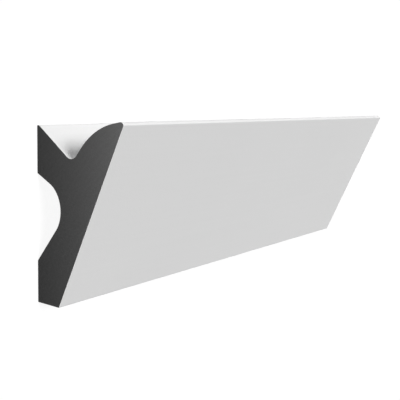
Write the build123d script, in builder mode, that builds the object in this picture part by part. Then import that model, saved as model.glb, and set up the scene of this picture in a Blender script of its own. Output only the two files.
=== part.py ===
from build123d import *
from math import asin, atan2, cos, degrees, hypot, radians, sin, tan
import os

# Cove moulding for a hidden light strip: one sawn length of foamed plastic stock.
# It lies on its back. X runs along the length, Y to the edge that is its top on a wall,
# and Z out from the wall. The origin is under the middle of the length and the height.

# Overall sizes, in millimetres, and the foot of the section
length = 300.0
height = 100.0
depth = 66.75
foot_depth = 17.6

# Light channel along the top: back edge, strip seat, root and inner flank
back_edge_width = 1.75
back_edge_drop = 2.55
seat_slope = 35.2
channel_radius = 5.6
flank_slope = 48.4

# Front lip: crowned on its inside, with a nose that rounds over from a crisp front edge
lip_width = 21.55
lip_rise = 9.2
crown_radius = 42.0
nose_radius = 2.4
nose_lean = 28.0
nose_flat = 0.1

# Back: two flat lands for the glue, with a relief between them
lower_land = 23.1
upper_land = 26.25
relief_lower_slope = 49.7
relief_upper_slope = 26.3
relief_radius = 16.0

# Rounding of the other moulded corners, and the least flat between two rounded ones
arris = 0.5
least_flat = 0.4


def slope_line(point, rise):
    """Line in the section that climbs by an angle in degrees as it leaves the wall."""
    return Axis((*point, 0), (sin(radians(rise)), cos(radians(rise)), 0))


def tangent_length(radius, turn):
    """How far a rounding takes up each side of a corner that turns by an angle in degrees."""
    return radius * tan(radians(turn / 2))


# Points of the section are (up from the foot, out from the wall)
back_height = height - back_edge_drop
foot_corner = (0, foot_depth)

# Nose: a short flat leans back from the front edge's rounding to the rounding of the lip's top
lean_up = sin(radians(nose_lean))
lean_out = cos(radians(nose_lean))
nose_inset = nose_radius - arris
edge_out = depth - arris
edge_up = height - nose_radius + nose_inset * lean_up - nose_flat * lean_out
nose_centre = (height - nose_radius, edge_out - nose_inset * lean_out - nose_flat * lean_up)
nose_line = slope_line((edge_up + arris * lean_up, edge_out + arris * lean_out), 90 + nose_lean)

# Slanted front, from the foot to the front edge's rounding
front_run = edge_out - foot_depth
front_slope = degrees(atan2(edge_up, front_run) - asin(arris / hypot(edge_up, front_run)))
front_line = slope_line(foot_corner, front_slope)
nose_edge = front_line.intersect(nose_line)

# Top of the lip, which touches the nose's rounding from above
lip_touch = (
    nose_centre[0] + nose_radius * cos(radians(lip_rise)),
    nose_centre[1] - nose_radius * sin(radians(lip_rise)),
)
lip_line = slope_line(lip_touch, lip_rise)
crown_out = depth - lip_width
crown_corner = Vector(lip_touch[0] - (lip_touch[1] - crown_out) * tan(radians(lip_rise)), crown_out)
nose_corner = lip_line.intersect(nose_line)

# Strip seat and inner flank, which meet at the root of the channel
seat_corner = (back_height, back_edge_width)
seat_line = slope_line(seat_corner, -seat_slope)
flank_line = slope_line((crown_corner.X, crown_corner.Y), flank_slope)
root_corner = seat_line.intersect(flank_line)

# Relief in the back, between the two lands
lower_edge = (lower_land, 0)
upper_edge = (back_height - upper_land, 0)
relief_floor = slope_line(lower_edge, relief_lower_slope)
relief_roof = slope_line(upper_edge, -relief_upper_slope)
relief_corner = relief_floor.intersect(relief_roof)

# The crown's rounding keeps clear of the nose and of the root
crown_turn = flank_slope - lip_rise
lip_room = (nose_corner - crown_corner).length - tangent_length(nose_radius, 90 - nose_lean + lip_rise)
flank_room = (root_corner - crown_corner).length - tangent_length(channel_radius, seat_slope + flank_slope)
crown_room = min(lip_room, flank_room) - least_flat
crown_fit = min(crown_radius, crown_room / tangent_length(1, crown_turn))

# Corners in order round the section, each with its rounding
corners = [
    ((0, 0), arris),
    (foot_corner, arris),
    (nose_edge, arris),
    (nose_corner, nose_radius),
    (crown_corner, crown_fit),
    (root_corner, channel_radius),
    (seat_corner, arris),
    ((back_height, 0), arris),
    (upper_edge, arris),
    (relief_corner, relief_radius),
    (lower_edge, arris),
]

section_plane = Plane(origin=(-length / 2, -height / 2, 0), x_dir=(0, 1, 0), z_dir=(1, 0, 0))

with BuildPart() as cove_moulding:
    with BuildSketch(section_plane) as section:
        with BuildLine():
            Polyline([corner for corner, rounding in corners], close=True)
        make_face()
        for corner, rounding in corners:
            fillet(section.vertices().sort_by_distance(corner)[0], rounding)
    extrude(amount=length)

cove_moulding.part.label = "cove_moulding"
os.makedirs("parts", exist_ok=True)
export_step(cove_moulding.part, "parts/cove_moulding.step")
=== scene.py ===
"""Looks of a cove moulding for a hidden light strip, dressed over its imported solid.

The moulding lies on its back on a pale studio floor. X runs along it, Y to the edge that is its
top on a wall, and Z out from the wall. Lengths are metres, except in fields that end in _mm.
"""

import logging
import math
from dataclasses import dataclass
from enum import Enum, IntEnum
from typing import Any, NamedTuple

import bmesh
import bpy
from mathutils import Matrix, Vector
from mathutils.geometry import delaunay_2d_cdt


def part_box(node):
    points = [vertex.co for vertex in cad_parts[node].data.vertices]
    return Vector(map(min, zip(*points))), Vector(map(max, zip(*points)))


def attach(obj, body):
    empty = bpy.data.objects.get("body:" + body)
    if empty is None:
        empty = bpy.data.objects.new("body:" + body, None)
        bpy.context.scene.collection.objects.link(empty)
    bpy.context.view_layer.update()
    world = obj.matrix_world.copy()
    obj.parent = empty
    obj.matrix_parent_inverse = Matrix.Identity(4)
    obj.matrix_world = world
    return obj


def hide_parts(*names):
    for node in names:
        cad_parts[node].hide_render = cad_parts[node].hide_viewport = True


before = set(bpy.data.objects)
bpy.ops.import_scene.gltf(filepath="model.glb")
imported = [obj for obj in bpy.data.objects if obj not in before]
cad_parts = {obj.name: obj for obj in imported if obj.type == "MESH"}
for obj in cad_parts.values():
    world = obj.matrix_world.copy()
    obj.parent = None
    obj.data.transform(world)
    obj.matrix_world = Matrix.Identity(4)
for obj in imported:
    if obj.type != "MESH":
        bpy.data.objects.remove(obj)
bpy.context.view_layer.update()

Socket = bpy.types.NodeSocket
Ring = list[bmesh.types.BMVert]
Triple = tuple[float, float, float]

CAD_NODE = "cove_moulding"
BODY = "root"
MM = 0.001
CUBIC_CM = 0.000001

# How thin the coat of primer is: full on the flat faces, thin on the arrises
THIN_COAT = "thin_coat"
FULL = 0.0
THIN = 1.0

# What the triangulation of an end keeps, and how near two points are taken as one
ONLY_INSIDE = 1
SAME_POINT_MM = 0.000001

log = logging.getLogger("cove_moulding")


class Zone(IntEnum):
    """Material slots of the moulding's mesh."""

    PRIMED = 0
    SAWN = 1


class End(Enum):
    """The two sawn ends, by the side of X that they face."""

    LEFT = -1
    RIGHT = 1


class Corner(NamedTuple):
    """A sharp corner of the section, the radius that rounds it and how thin the primer is there."""

    at: Vector
    radius_mm: float
    thin_coat: float


class OutlinePoint(NamedTuple):
    """A point of the rounded outline, its outward normal and how thin the primer is there."""

    at: Vector
    normal: Vector
    thin_coat: float


class Station(NamedTuple):
    """A place along X where the outline is laid, how far it is drawn in and how its normals lean along X."""

    x: float
    inset: float
    lean: float


def grey(tone: float) -> tuple[float, float, float, float]:
    """Gives the neutral colour of a tone, from black at 0 to white at 1."""
    return (tone, tone, tone, 1.0)


class ShaderGraph:
    """Adds and joins the shader nodes of one material or world."""

    def __init__(self, owner: bpy.types.Material | bpy.types.World) -> None:
        """Clears the owner's nodes, so that only those added here are left.

        Args:
            owner: the material or world.
        """
        owner.use_nodes = True
        self.tree = owner.node_tree
        self.tree.nodes.clear()

    def add(self, kind: str, inputs: dict[str | int, Any], **settings: Any) -> bpy.types.Node:
        """Adds one node.

        Args:
            kind: the node's type name, without its leading "ShaderNode".
            inputs: what each input holds, by name or place: a value, or the output that feeds it.
            settings: the node's own properties.

        Returns:
            The new node.
        """
        node = self.tree.nodes.new("ShaderNode" + kind)
        for name, value in settings.items():
            setattr(node, name, value)
        for name, value in inputs.items():
            if isinstance(value, Socket):
                self.tree.links.new(value, node.inputs[name])
            else:
                node.inputs[name].default_value = value
        return node

    def place(self) -> Socket:
        """Gives the place on the object, in metres."""
        return self.add("TexCoord", {}).outputs["Object"]

    def noise(self, scale: Triple, layers: float = 2.0) -> Socket:
        """Gives soft noise from 0 to 1.

        Args:
            scale: lumps for each metre along X, Y and Z.
            layers: how many finer layers are added.

        Returns:
            The output that holds the noise.
        """
        stretched = self.add("Mapping", {"Vector": self.place(), "Scale": scale}).outputs["Vector"]
        return self.add("TexNoise", {"Vector": stretched, "Scale": 1.0, "Detail": layers}).outputs[0]

    def spread(self, value: Socket, low: float, high: float, start: float = 0.0, end: float = 1.0) -> Socket:
        """Spreads a value over another range.

        Args:
            value: the output to spread.
            low: the result at start.
            high: the result at end.
            start: the value that gives low.
            end: the value that gives high.

        Returns:
            The output that holds the result.
        """
        inputs = {"Value": value, "From Min": start, "From Max": end, "To Min": low, "To Max": high}
        return self.add("MapRange", inputs).outputs["Result"]

    def vary(self, value: Socket, middle: float, drift: float) -> Socket:
        """Spreads a value from 0 to 1 about a middle, by the drift to each side."""
        return self.spread(value, middle - drift, middle + drift)

    def math(self, operation: str, first: Socket | float, second: Socket | float = 0.0) -> Socket:
        """Gives the result of one operation on outputs or numbers."""
        return self.add("Math", {0: first, 1: second}, operation=operation).outputs[0]

    def vector_math(self, operation: str, first: Socket, second: Triple) -> Socket:
        """Gives the number that one operation makes of a vector output and a fixed vector."""
        return self.add("VectorMath", {0: first, 1: second}, operation=operation).outputs["Value"]

    def bump(self, height: Socket, depth: float, under: Socket | None = None) -> Socket:
        """Bumps the surface.

        Args:
            height: the output that holds the height, in shares of the depth.
            depth: the depth of the bumps.
            under: the output that holds the normal they lie on, where the surface has bumps already.

        Returns:
            The output that holds the bumped normal.
        """
        inputs = {"Height": height, "Distance": depth}
        if under is not None:
            inputs["Normal"] = under
        return self.add("Bump", inputs).outputs["Normal"]

    def seen_rays(self) -> Socket:
        """Gives 1 on rays to the eye, off gloss and through glass, and 0 on those that only carry light.

        Returns:
            The output that holds it.
        """
        path = self.add("LightPath", {}).outputs
        eye_or_gloss = self.math("MAXIMUM", path["Is Camera Ray"], path["Is Glossy Ray"])
        return self.math("MAXIMUM", eye_or_gloss, path["Is Transmission Ray"])

    def end_in_plastic(self, tone: Socket, roughness: Socket, gloss: float, normal: Socket) -> None:
        """Ends the graph in a plastic's shader.

        Args:
            tone: the output that holds the colour.
            roughness: the output that holds the roughness.
            gloss: how strongly the surface mirrors.
            normal: the output that holds the bumped normal.
        """
        shader = self.add("BsdfPrincipled", {
            "Base Color": tone,
            "Roughness": roughness,
            "Specular IOR Level": gloss,
            "Normal": normal,
        })
        self.add("OutputMaterial", {"Surface": shader.outputs[0]})


@dataclass(frozen=True)
class PrimerFinish:
    """Matt white primer: fine orange peel, faint drawn lines and a thinner coat on the arrises."""

    tone: float = 0.80
    tone_drift: float = 0.012
    line_drift: float = 0.008
    thin_coat_loss: float = 0.10
    roughness: float = 0.70
    roughness_drift: float = 0.06
    gloss: float = 0.2
    patches_per_metre: float = 16.0
    patch_layers: float = 3.0
    lines_per_metre: float = 420.0
    line_stretch: float = 6.0
    line_depth: float = 0.00001
    peel_per_metre: float = 900.0
    peel_depth: float = 0.00005

    def material(self) -> bpy.types.Material:
        """Makes the primer's material.

        Returns:
            The material.
        """
        made = bpy.data.materials.new("matt_white_primer")
        graph = ShaderGraph(made)
        patches = graph.noise((self.patches_per_metre,) * 3, self.patch_layers)
        lines = graph.noise((self.line_stretch, self.lines_per_metre, self.lines_per_metre))
        peel = graph.noise((self.peel_per_metre,) * 3)
        full_tone = graph.math(
            "ADD",
            graph.vary(patches, self.tone, self.tone_drift),
            graph.vary(lines, 0.0, self.line_drift),
        )
        thin_coat = graph.add("Attribute", {}, attribute_name=THIN_COAT).outputs["Fac"]
        loss = graph.math("MULTIPLY", thin_coat, graph.spread(patches, 0.0, 2 * self.thin_coat_loss))
        tone = graph.math("MULTIPLY", full_tone, graph.math("SUBTRACT", 1.0, loss))
        roughness = graph.vary(patches, self.roughness, self.roughness_drift)
        drawn = graph.bump(lines, self.line_depth)
        peeled = graph.bump(peel, self.peel_depth, drawn)
        graph.end_in_plastic(tone, roughness, self.gloss, peeled)
        return made


@dataclass(frozen=True)
class SawnFoamFinish:
    """Bare dark grey foam at a sawn end: closed cells, faint saw arcs, and painted shading that runs from
    dark at the back to paler towards the thick lip.
    """

    # Painted shading: the end's tone runs from a dark tone at the back to a pale tone at the thick lip,
    # standing in for light that falls off across it
    painted_shade_tone: float = 0.066
    painted_light_tone: float = 0.206
    painted_light_direction: Triple = (0.0, 0.06, 1.0)
    painted_light_from: float = 0.0
    painted_light_to: float = 0.067
    cell_drift: float = 0.10
    arc_drift: float = 0.012
    roughness: float = 0.62
    roughness_drift: float = 0.08
    gloss: float = 0.02
    cells_per_metre: float = 2400.0
    cell_depth: float = 0.00006
    saw_centre: Triple = (0.0, -0.11, 0.16)
    arcs_per_metre: float = 420.0
    arc_depth: float = 0.00001
    wobbles_per_metre: float = 60.0
    wobble_reach: float = 0.004

    def material(self) -> bpy.types.Material:
        """Makes the sawn foam's material.

        Returns:
            The material.
        """
        made = bpy.data.materials.new("sawn_grey_foam")
        graph = ShaderGraph(made)
        place = graph.place()
        cells = graph.add("TexVoronoi", {"Vector": place, "Scale": self.cells_per_metre}).outputs["Distance"]
        wobble = graph.math("MULTIPLY", graph.noise((self.wobbles_per_metre,) * 3), self.wobble_reach)
        from_saw = graph.math("ADD", graph.vector_math("DISTANCE", place, self.saw_centre), wobble)
        arcs = graph.math("SINE", graph.math("MULTIPLY", from_saw, 2 * math.pi * self.arcs_per_metre))
        # Painted shading: the tone rises from the dark tone at the back to the pale tone towards the thick
        # lip, in place of light falling across the end
        across = graph.vector_math("DOT_PRODUCT", place, self.painted_light_direction)
        share = graph.spread(across, 0.0, 1.0, self.painted_light_from, self.painted_light_to)
        rise = graph.math("POWER", self.painted_light_tone / self.painted_shade_tone, share)
        painted_shading_tone = graph.math("MULTIPLY", rise, self.painted_shade_tone)
        drift = graph.math(
            "ADD",
            graph.vary(cells, 1.0, self.cell_drift),
            graph.math("MULTIPLY", arcs, self.arc_drift),
        )
        tone = graph.math("MULTIPLY", painted_shading_tone, drift)
        roughness = graph.vary(cells, self.roughness, self.roughness_drift)
        scored = graph.bump(arcs, self.arc_depth)
        pitted = graph.bump(cells, self.cell_depth, scored)
        graph.end_in_plastic(tone, roughness, self.gloss, pitted)
        return made


@dataclass(frozen=True)
class MouldingSection:
    """The moulding's section: a strip seat, a crowned lip, a slanted front and a relieved back."""

    height_mm: float
    depth_mm: float
    foot_depth_mm: float = 17.6
    back_edge_width_mm: float = 1.75
    back_edge_drop_mm: float = 2.55
    seat_slope_deg: float = 35.2
    channel_radius_mm: float = 5.6
    flank_slope_deg: float = 48.4
    lip_width_mm: float = 21.55
    lip_rise_deg: float = 9.2
    crown_radius_mm: float = 42.0
    nose_radius_mm: float = 2.4
    nose_lean_deg: float = 28.0
    nose_flat_mm: float = 0.1
    lower_land_mm: float = 23.1
    upper_land_mm: float = 26.25
    relief_lower_slope_deg: float = 49.7
    relief_upper_slope_deg: float = 26.3
    relief_radius_mm: float = 16.0
    arris_mm: float = 0.5
    longest_side_mm: float = 5.0
    coat_fade_mm: float = 0.5
    arc_step_deg: float = 4.0
    fewest_arc_steps: int = 4

    @staticmethod
    def slope(rise_deg: float) -> Vector:
        """Gives the direction, as (up, out), that climbs by an angle as it leaves the wall."""
        return Vector((math.sin(math.radians(rise_deg)), math.cos(math.radians(rise_deg))))

    @staticmethod
    def meet(first: Vector, along_first: Vector, second: Vector, along_second: Vector) -> Vector:
        """Finds where two lines of the section cross.

        Args:
            first: a point on the first line.
            along_first: the first line's direction.
            second: a point on the second line.
            along_second: the second line's direction.

        Returns:
            The crossing point.
        """
        turn = along_first.x * along_second.y - along_first.y * along_second.x
        gap = second - first
        reach = (gap.x * along_second.y - gap.y * along_second.x) / turn
        return first + along_first * reach

    def corners(self) -> list[Corner]:
        """Works out the sharp corners in order round the section, as (up from the foot, out from the wall).

        Returns:
            The corners, each with its rounding.
        """
        back_height = self.height_mm - self.back_edge_drop_mm
        foot = Vector((0.0, self.foot_depth_mm))
        nose_side = self.slope(90.0 + self.nose_lean_deg)
        nose_faces = self.slope(self.nose_lean_deg)
        edge_to_nose = nose_side * self.nose_flat_mm - nose_faces * (self.nose_radius_mm - self.arris_mm)
        nose = Vector((self.height_mm - self.nose_radius_mm, self.depth_mm - self.arris_mm + edge_to_nose.y))
        edge = nose - edge_to_nose
        to_edge = edge - foot
        front_rise = math.atan2(to_edge.x, to_edge.y) - math.asin(self.arris_mm / to_edge.length)
        front = self.slope(math.degrees(front_rise))
        nose_edge = self.meet(edge + nose_faces * self.arris_mm, nose_side, foot, front)
        lip = self.slope(self.lip_rise_deg)
        lip_touch = nose + Vector((lip.y, -lip.x)) * self.nose_radius_mm
        lip_back = self.depth_mm - self.lip_width_mm
        crown = lip_touch + lip * ((lip_back - lip_touch.y) / lip.y)
        seat = Vector((back_height, self.back_edge_width_mm))
        root = self.meet(seat, self.slope(-self.seat_slope_deg), crown, self.slope(self.flank_slope_deg))
        lower = Vector((self.lower_land_mm, 0.0))
        upper = Vector((back_height - self.upper_land_mm, 0.0))
        relief_floor = self.slope(self.relief_lower_slope_deg)
        relief_roof = self.slope(-self.relief_upper_slope_deg)
        return [
            Corner(Vector((0.0, 0.0)), self.arris_mm, THIN),
            Corner(foot, self.arris_mm, THIN),
            Corner(nose_edge, self.arris_mm, FULL),
            Corner(self.meet(lip_touch, lip, nose_edge, nose_side), self.nose_radius_mm, FULL),
            Corner(crown, self.crown_radius_mm, FULL),
            Corner(root, self.channel_radius_mm, FULL),
            Corner(seat, self.arris_mm, THIN),
            Corner(Vector((back_height, 0.0)), self.arris_mm, THIN),
            Corner(upper, self.arris_mm, THIN),
            Corner(self.meet(lower, relief_floor, upper, relief_roof), self.relief_radius_mm, FULL),
            Corner(lower, self.arris_mm, THIN),
        ]

    def rounding(self, before: Vector, corner: Corner, after: Vector) -> list[OutlinePoint]:
        """Rounds one corner by an arc that touches both of its sides.

        Args:
            before: the corner before it.
            corner: the corner to round.
            after: the corner after it.

        Returns:
            The arc's points, from the side before to the side after.
        """
        back = (before - corner.at).normalized()
        ahead = (after - corner.at).normalized()
        half = back.angle(ahead) / 2
        centre = corner.at + (back + ahead).normalized() * (corner.radius_mm / math.sin(half))
        start = corner.at + back * (corner.radius_mm / math.tan(half)) - centre
        turn = math.pi - 2 * half
        hollow = back.x * ahead.y - back.y * ahead.x < 0
        steps = max(self.fewest_arc_steps, math.ceil(math.degrees(turn) / self.arc_step_deg))
        points = []
        for step in range(steps + 1):
            angle = turn * step / steps * (1 if hollow else -1)
            arm = Matrix.Rotation(angle, 2) @ start
            normal = (-arm if hollow else arm).normalized()
            points.append(OutlinePoint(centre + arm, normal, corner.thin_coat))
        return points

    def outline(self) -> list[OutlinePoint]:
        """Gives the rounded outline, with points along its straight sides too.

        Returns:
            The points in order round the section.
        """
        corners = self.corners()
        arcs = [
            self.rounding(corners[place - 1].at, corner, corners[(place + 1) % len(corners)].at)
            for place, corner in enumerate(corners)
        ]
        points = []
        for place, arc in enumerate(arcs):
            following = arcs[(place + 1) % len(arcs)][0]
            points.extend(arc)
            side = following.at - arc[-1].at
            full = side.length - 2 * self.coat_fade_mm
            if full <= 0:
                continue
            spans = math.ceil(full / self.longest_side_mm)
            for span in range(spans + 1):
                reach = (self.coat_fade_mm + full * span / spans) / side.length
                points.append(OutlinePoint(arc[-1].at + side * reach, following.normal, FULL))
        return points


@dataclass
class CoveMoulding:
    """One sawn length of the moulding, with primer on its moulded faces and bare foam at its ends."""

    low: Vector
    high: Vector
    coat: float = 0.00006
    saw_arris: float = 0.00004
    saw_arris_steps: int = 3
    longest_span: float = 0.006
    primer: PrimerFinish = PrimerFinish()
    foam: SawnFoamFinish = SawnFoamFinish()

    def section(self) -> MouldingSection:
        """Gives the section at the solid's own height and depth."""
        size = (self.high - self.low) / MM
        return MouldingSection(height_mm=size.y, depth_mm=size.z)

    def stations(self) -> list[Station]:
        """Works out where the outline is laid: closely round each sawn arris, then evenly along the length.

        Returns:
            The stations from the left end to the right one.
        """
        near_end = [(0.0, self.coat, 1.0)]
        for step in range(self.saw_arris_steps + 1):
            lean = math.pi / 2 * (1 - step / self.saw_arris_steps)
            away = self.saw_arris * (1 - math.sin(lean))
            near_end.append((away, self.saw_arris * (1 - math.cos(lean)), math.sin(lean)))
        start = self.low.x + self.saw_arris
        run = self.high.x - self.low.x - 2 * self.saw_arris
        spans = math.ceil(run / self.longest_span)
        left = [Station(self.low.x + away, inset, -lean) for away, inset, lean in near_end]
        middle = [Station(start + run * span / spans, 0.0, 0.0) for span in range(1, spans)]
        right = [Station(self.high.x - away, inset, lean) for away, inset, lean in reversed(near_end)]
        return left + middle + right

    def lay_rings(self, mesh: bmesh.types.BMesh) -> tuple[list[Ring], list[Vector]]:
        """Lays the outline's points at each station.

        Args:
            mesh: the mesh that gets the points.

        Returns:
            The rings of points from left to right, and each point's normal in the same order.
        """
        outline = self.section().outline()
        thin_coat = mesh.verts.layers.float.new(THIN_COAT)
        rings: list[Ring] = []
        normals: list[Vector] = []
        for x, inset, lean in self.stations():
            flat = math.sqrt(1 - lean * lean)
            ring = []
            for point in outline:
                up, out = point.at * MM - point.normal * inset
                vert = mesh.verts.new((x, self.low.y + up, self.low.z + out))
                vert[thin_coat] = max(point.thin_coat, abs(lean))
                ring.append(vert)
                normals.append(Vector((lean, point.normal.x * flat, point.normal.y * flat)))
            rings.append(ring)
        return rings, normals

    @staticmethod
    def join_rings(mesh: bmesh.types.BMesh, rings: list[Ring]) -> None:
        """Joins each ring to the next one by primed faces.

        Args:
            mesh: the mesh that holds the rings.
            rings: the rings from left to right.
        """
        for ring, following in zip(rings, rings[1:]):
            for place, vert in enumerate(ring):
                beside = (place + 1) % len(ring)
                face = mesh.faces.new((vert, following[place], following[beside], ring[beside]))
                face.material_index = Zone.PRIMED

    @staticmethod
    def triangles(outline: list[Vector]) -> list[list[int]]:
        """Splits the area inside a closed outline into well shaped triangles.

        Args:
            outline: the outline's points in order, in millimetres.

        Returns:
            For each triangle the places of its corners in the outline, counterclockwise.
        """
        loop = list(range(len(outline)))
        split = delaunay_2d_cdt(outline, [], [loop], ONLY_INSIDE, SAME_POINT_MM)
        faces, sources = split[2], split[3]
        return [[sources[corner][0] for corner in face] for face in faces]

    def close_end(self, mesh: bmesh.types.BMesh, ring: Ring, end: End) -> None:
        """Closes one end by flat triangles of bare foam.

        Args:
            mesh: the mesh that holds the ring.
            ring: the end's own ring.
            end: which end it is.
        """
        for triangle in self.triangles([vert.co.yz / MM for vert in ring]):
            order = triangle if end is End.RIGHT else triangle[::-1]
            face = mesh.faces.new([ring[place] for place in order])
            face.material_index = Zone.SAWN

    def build(self) -> bpy.types.Object:
        """Builds the moulding's mesh: rings of the outline along X, and flat triangles at each end.

        Returns:
            The moulding's object, not dressed yet.
        """
        mesh = bmesh.new()
        rings, normals = self.lay_rings(mesh)
        self.join_rings(mesh, rings)
        self.close_end(mesh, rings[0], End.LEFT)
        self.close_end(mesh, rings[-1], End.RIGHT)
        for face in mesh.faces:
            face.smooth = True
        volume_cm3 = mesh.calc_volume(signed=True) / CUBIC_CM
        log.info("moulding mesh: %d faces, volume %.1f cm3", len(mesh.faces), volume_cm3)
        made = bpy.data.meshes.new("primed_moulding")
        mesh.to_mesh(made)
        mesh.free()
        made.normals_split_custom_set_from_vertices(normals)
        built = bpy.data.objects.new("primed_moulding", made)
        bpy.context.scene.collection.objects.link(built)
        return built

    def dress(self, built: bpy.types.Object) -> None:
        """Gives the mesh its finishes and its place in the frame.

        Args:
            built: the moulding's object.
        """
        built.data.materials.append(self.primer.material())
        built.data.materials.append(self.foam.material())
        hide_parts(CAD_NODE)
        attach(built, BODY)


@dataclass(frozen=True)
class StudioFloor:
    """Pale floor under the moulding, white to the eye, with a soft shadow."""

    half_width: float = 6.0
    drop: float = 0.00005
    bounce_tone: float = 0.75
    glow: float = 0.92
    shaded_tone: float = 0.10

    def material(self) -> bpy.types.Material:
        """Makes the floor's material, which glows white only for the eye, for gloss and for glass.

        Returns:
            The material.
        """
        made = bpy.data.materials.new("studio_floor")
        graph = ShaderGraph(made)
        bounce = graph.add("BsdfDiffuse", {"Color": grey(self.bounce_tone)})
        shaded = graph.add("BsdfDiffuse", {"Color": grey(self.shaded_tone)})
        glow = graph.add("Emission", {"Color": grey(1.0), "Strength": self.glow})
        white = graph.add("AddShader", {0: shaded.outputs[0], 1: glow.outputs[0]})
        shader = graph.add("MixShader", {0: graph.seen_rays(), 1: bounce.outputs[0], 2: white.outputs[0]})
        graph.add("OutputMaterial", {"Surface": shader.outputs[0]})
        return made

    def build(self) -> bpy.types.Object:
        """Lays the floor.

        Returns:
            The floor's object.
        """
        reach = self.half_width
        corners = ((-reach, -reach), (reach, -reach), (reach, reach), (-reach, reach))
        mesh = bpy.data.meshes.new("studio_floor")
        mesh.from_pydata([(x, y, -self.drop) for x, y in corners], [], [(0, 1, 2, 3)])
        mesh.materials.append(self.material())
        floor = bpy.data.objects.new("studio_floor", mesh)
        bpy.context.scene.collection.objects.link(floor)
        return floor


@dataclass(frozen=True)
class Lamp:
    """One distant soft lamp."""

    name: str
    strength: float
    spread_deg: float
    comes_from: Triple

    def hang(self) -> bpy.types.Object:
        """Hangs the lamp.

        Returns:
            The lamp's object.
        """
        lamp = bpy.data.lights.new(self.name, "SUN")
        lamp.energy = self.strength
        lamp.angle = math.radians(self.spread_deg)
        hung = bpy.data.objects.new(self.name, lamp)
        hung.rotation_mode = "QUATERNION"
        hung.rotation_quaternion = Vector(self.comes_from).to_track_quat("Z", "Y")
        bpy.context.scene.collection.objects.link(hung)
        return hung


@dataclass(frozen=True)
class StudioLight:
    """A soft lamp in front, a weak one towards the top edge, and a faint even light all around."""

    around: float = 0.02
    lamps: tuple[Lamp, ...] = (
        Lamp("front_lamp", 3.20, 20.0, (-0.13, 0.28, 0.95)),
        Lamp("top_lamp", 0.3, 40.0, (0.30, 0.93, 0.20)),
    )

    def build(self) -> list[bpy.types.Object]:
        """Sets the world, which is white only where it is seen, and hangs the lamps.

        Returns:
            The lamps' objects.
        """
        world = bpy.data.worlds.new("studio")
        graph = ShaderGraph(world)
        strength = graph.spread(graph.seen_rays(), self.around, 1.0)
        sky = graph.add("Background", {"Color": grey(1.0), "Strength": strength})
        graph.add("OutputWorld", {"Surface": sky.outputs[0]})
        bpy.context.scene.world = world
        return [lamp.hang() for lamp in self.lamps]


@dataclass(frozen=True)
class PhotoCamera:
    """Camera at the photograph's place: a little above the lip, in front of the left end, top edge up."""

    eye: Triple = (-0.37866, 0.05731, 0.29759)
    yaw_deg: float = 51.279
    pitch_deg: float = 1.419
    image_px: float = 400.0
    focal_px: float = 666.4
    centre_row_px: float = 123.60
    sensor_mm: float = 36.0

    def build(self) -> bpy.types.Object:
        """Sets up the scene's camera.

        Returns:
            The camera's object.
        """
        yaw = math.radians(self.yaw_deg)
        pitch = math.radians(self.pitch_deg)
        level = Vector((math.sin(yaw), 0.0, -math.cos(yaw)))
        top = Vector((0.0, 1.0, 0.0))
        ahead = level * math.cos(pitch) - top * math.sin(pitch)
        right = Vector((math.cos(yaw), 0.0, math.sin(yaw)))
        up = level * math.sin(pitch) + top * math.cos(pitch)
        lens = bpy.data.cameras.new("photo_camera")
        lens.sensor_width = self.sensor_mm
        lens.lens = self.focal_px * self.sensor_mm / self.image_px
        lens.shift_y = (self.centre_row_px - self.image_px / 2) / self.image_px
        camera = bpy.data.objects.new("photo_camera", lens)
        turned = Matrix((right, up, -ahead)).transposed().to_4x4()
        camera.matrix_world = Matrix.Translation(self.eye) @ turned
        bpy.context.scene.collection.objects.link(camera)
        bpy.context.scene.camera = camera
        return camera


def main() -> None:
    """Builds the camera, the light, the floor and the moulding, and reports each."""
    logging.basicConfig(level=logging.INFO, format="%(name)s: %(message)s")
    bpy.context.scene.view_settings.view_transform = "Standard"
    log.info("camera %s", PhotoCamera().build().name)
    log.info("lamps %s", [lamp.name for lamp in StudioLight().build()])
    log.info("floor %s", StudioFloor().build().name)
    moulding = CoveMoulding(*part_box(CAD_NODE))
    built = moulding.build()
    moulding.dress(built)
    log.info("piece %s, %d vertices", built.name, len(built.data.vertices))


if __name__ == "__main__":
    main()
